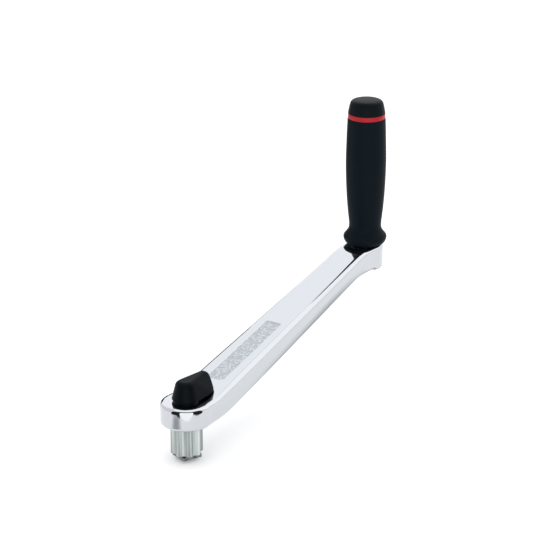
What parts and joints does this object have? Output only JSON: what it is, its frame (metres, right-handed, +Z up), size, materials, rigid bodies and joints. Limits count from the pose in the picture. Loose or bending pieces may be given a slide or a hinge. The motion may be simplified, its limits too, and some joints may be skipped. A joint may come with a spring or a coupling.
{
  "type": "lock-in crank handle",
  "caption": "Lock-in crank handle: tapered chromed arm rising from a star drive stud with a lever lock to a free-turning ball-bearing grip.",
  "frame": {"origin": "drive axis at the flat underside of the head, where the star stud leaves it", "axes": "+X from the drive axis to the grip axis, +Z up along the drive axis towards the lock knob"},
  "size_m": [0.2906, 0.0384, 0.2112],
  "materials": {
    "chromed_forging": "polished chrome plate on a bronze forging",
    "satin_steel": "machined, satin",
    "bright_steel": "turned, bright",
    "spring_steel": "drawn wire",
    "bearing_steel": "ground and polished",
    "nylon": "moulded, natural",
    "knob_plastic": "moulded, fine satin",
    "grip_rubber": "moulded, matt",
    "cap_plastic": "moulded, matt",
    "seal_rubber": "moulded",
    "red_plastic": "moulded, semi-gloss"
  },
  "bodies": {
    "crank": {"arm": "chromed_forging", "drive_stud": "satin_steel", "stop_pin": "bright_steel", "lock_spring": "spring_steel", "knob_washer": "knob_plastic", "grip_spindle": "bright_steel", "spindle_washer": "bright_steel", "spindle_nut": "bright_steel", "lower_inner_race": "bearing_steel", "upper_inner_race": "bearing_steel", "bearing_spacer": "bright_steel", "retaining_washer": "bright_steel", "retaining_screw": "bright_steel"},
    "lock": {"lock_shaft": "bright_steel", "lock_knob": "knob_plastic", "lock_plate": "satin_steel", "plate_screw": "bright_steel"},
    "grip": {"grip_body": "grip_rubber", "accent_ring": "red_plastic", "grip_cap": "cap_plastic", "grip_seal": "seal_rubber", "lower_outer_race": "bearing_steel", "upper_outer_race": "bearing_steel"},
    "lower_ball_set": {"lower_ball_cage": "nylon", "lower_balls": "bearing_steel"},
    "upper_ball_set": {"upper_ball_cage": "nylon", "upper_balls": "bearing_steel"}
  },
  "joints": [
    {"name": "lock_turn", "type": "hinge", "parent": "crank", "child": "lock", "pos_m": [0, 0, 0], "axis": [0, 0, 1], "range_deg": [0, 22.5], "stiffness_Nm_per_rad": 0.12, "springref_deg": -14.32},
    {"name": "grip_spin", "type": "hinge", "parent": "crank", "child": "grip", "pos_m": [0.254, 0, 0], "axis": [0, 0, 1], "continuous": true},
    {"name": "lower_ball_roll", "type": "hinge", "parent": "crank", "child": "lower_ball_set", "pos_m": [0.254, 0, 0], "axis": [0, 0, 1], "continuous": true},
    {"name": "upper_ball_roll", "type": "hinge", "parent": "crank", "child": "upper_ball_set", "pos_m": [0.254, 0, 0], "axis": [0, 0, 1], "continuous": true}
  ],
  "couplings": [
    {"joint": "lower_ball_roll", "follows": "grip_spin", "ratio": 0.6},
    {"joint": "upper_ball_roll", "follows": "grip_spin", "ratio": 0.6}
  ]
}
